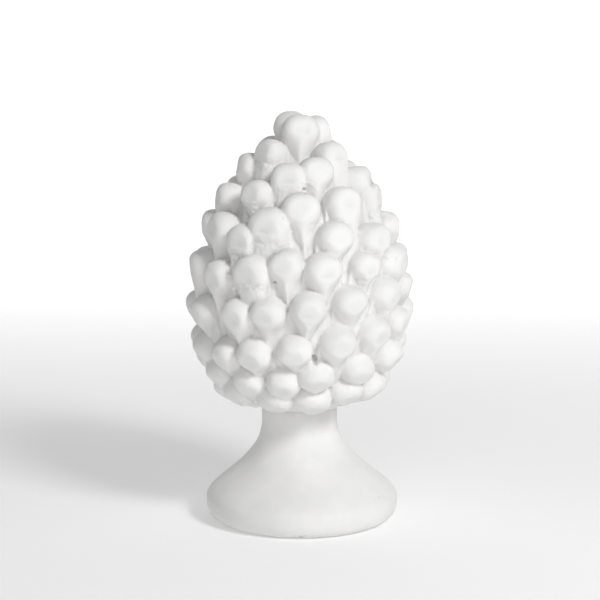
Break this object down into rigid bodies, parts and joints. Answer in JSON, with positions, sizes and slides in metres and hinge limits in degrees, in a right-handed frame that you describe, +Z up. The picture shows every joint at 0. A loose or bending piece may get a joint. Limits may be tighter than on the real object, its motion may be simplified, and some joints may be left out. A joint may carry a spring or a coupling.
{
  "type": "pinecone finial",
  "caption": "Egg-shaped pinecone finial with rows of rounded, overlapping scales, on a neck and a bell-shaped round foot with a flat underside.",
  "frame": {"origin": "centre of the foot's flat underside", "axes": "+Z up through the foot, neck and cone, -Y to the front as pictured, +X to the right"},
  "size_m": [0.1397, 0.1393, 0.2495],
  "materials": {
    "plaster": null
  },
  "bodies": {
    "root": {"pinecone_finial": "plaster"}
  },
  "joints": []
}
